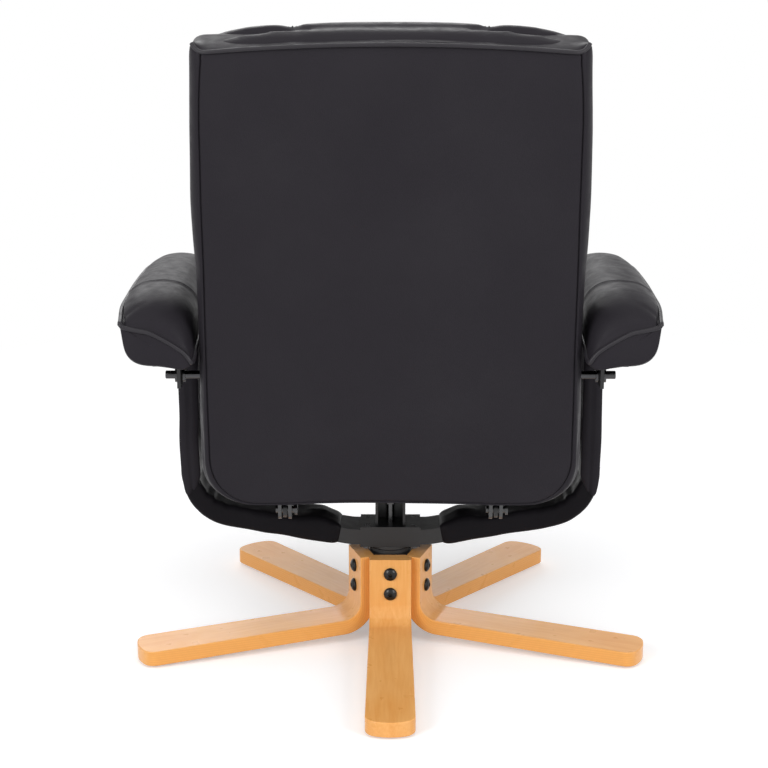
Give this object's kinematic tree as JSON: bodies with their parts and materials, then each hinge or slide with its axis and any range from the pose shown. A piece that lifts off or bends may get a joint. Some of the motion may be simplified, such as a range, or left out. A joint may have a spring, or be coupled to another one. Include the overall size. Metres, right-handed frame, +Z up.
{
  "type": "swivel recliner",
  "caption": "Padded swivel recliner with channelled back and seat, arms on a U-shaped cradle bar and a star base of bent plywood legs.",
  "frame": {"origin": "on the swivel axis at the floor, which is also the middle of the chair's length and width", "axes": "+Z up along the swivel axis, -Y towards the front of the seat, +X towards the sitter's left arm"},
  "size_m": [0.7706, 0.8, 0.9736],
  "materials": {
    "beech_plywood": "honey lacquered bent beech plywood",
    "glide_felt": "matt dark glides",
    "black_bolt": "black oxide",
    "black_steel": "satin black powder coat",
    "nylon": "dark nylon",
    "zinc_steel": "zinc plated",
    "leatherette": "black leatherette, fine grain, satin",
    "padded_leatherette": "black leatherette over foam, fine grain, satin",
    "board": "raw plywood",
    "softwood": "raw planed timber",
    "webbing": "elastic woven webbing",
    "liner": "black non-woven lining",
    "rubber": "black rubber",
    "knob_plastic": "black moulded plastic"
  },
  "bodies": {
    "base": {"leg_rear": "beech_plywood", "leg_left_rear": "beech_plywood", "leg_left_front": "beech_plywood", "leg_right_front": "beech_plywood", "leg_right_rear": "beech_plywood", "leg_glides": "glide_felt", "leg_bolts": "black_bolt", "leg_nuts": "zinc_steel", "hub_tube": "black_steel", "swivel_bush": "nylon", "thrust_bearing": "nylon"},
    "cradle": {"spindle": "black_steel", "spindle_clip": "zinc_steel", "u_bar": "black_steel", "bar_bolts": "zinc_steel", "centre_post": "black_steel", "stop_bolt": "zinc_steel", "bumper": "rubber", "bar_sleeve_left": "leatherette", "bar_sleeve_right": "leatherette", "side_panel_left": "leatherette", "side_panel_right": "leatherette", "arm_bracket_left": "black_steel", "arm_bracket_right": "black_steel", "arm_bracket_bolts": "zinc_steel", "arm_board_left": "board", "arm_board_right": "board", "arm_board_screws": "zinc_steel", "arm_pad_left": "padded_leatherette", "arm_pad_right": "padded_leatherette", "pivot_bushes": "nylon", "knob_studs": "zinc_steel"},
    "backrest": {"back_panel": "leatherette", "back_boxing": "leatherette", "back_bottom_rail": "softwood", "back_top_rail": "softwood", "back_side_rail_left": "softwood", "back_side_rail_right": "softwood", "back_webbing": "webbing", "back_cushion": "padded_leatherette", "pivot_plates": "black_steel", "pivot_rods": "black_bolt", "rod_washers": "black_bolt", "hinge_brackets": "zinc_steel", "hinge_pins": "zinc_steel"},
    "seat": {"seat_rear_rail": "softwood", "seat_front_rail": "softwood", "seat_side_rail_left": "softwood", "seat_side_rail_right": "softwood", "seat_border": "leatherette", "seat_webbing": "webbing", "dust_cover": "liner", "seat_cushion": "padded_leatherette", "hinge_arms": "black_steel", "link_feet": "black_steel"},
    "front_link_left": {"front_link_left": "black_steel"},
    "front_link_right": {"front_link_right": "black_steel"},
    "lock_knob_left": {"lock_knob_left": "knob_plastic"},
    "lock_knob_right": {"lock_knob_right": "knob_plastic"}
  },
  "joints": [
    {"name": "swivel", "type": "hinge", "parent": "base", "child": "cradle", "pos_m": [0, 0, 0.144], "axis": [0, 0, 1], "continuous": true},
    {"name": "back_recline", "type": "hinge", "parent": "cradle", "child": "backrest", "pos_m": [0, 0.15, 0.459], "axis": [-1, 0, 0], "range_deg": [0, 28]},
    {"name": "seat_glide", "type": "hinge", "parent": "backrest", "child": "seat", "pos_m": [0, 0.14, 0.25], "axis": [1, 0, 0], "range_deg": [0, 28]},
    {"name": "front_link_left", "type": "hinge", "parent": "cradle", "child": "front_link_left", "pos_m": [0.2705, -0.21, 0.459], "axis": [-1, 0, 0], "range_deg": [0, 28]},
    {"name": "front_link_right", "type": "hinge", "parent": "cradle", "child": "front_link_right", "pos_m": [-0.2705, -0.21, 0.459], "axis": [-1, 0, 0], "range_deg": [0, 28]},
    {"name": "lock_knob_left", "type": "hinge", "parent": "cradle", "child": "lock_knob_left", "pos_m": [0.318, -0.21, 0.459], "axis": [1, 0, 0], "range_deg": [0, 360]},
    {"name": "lock_knob_right", "type": "hinge", "parent": "cradle", "child": "lock_knob_right", "pos_m": [-0.318, -0.21, 0.459], "axis": [-1, 0, 0], "range_deg": [0, 360]}
  ],
  "couplings": [
    {"joint": "seat_glide", "follows": "back_recline", "ratio": 1},
    {"joint": "front_link_left", "follows": "back_recline", "ratio": 1},
    {"joint": "front_link_right", "follows": "back_recline", "ratio": 1}
  ]
}
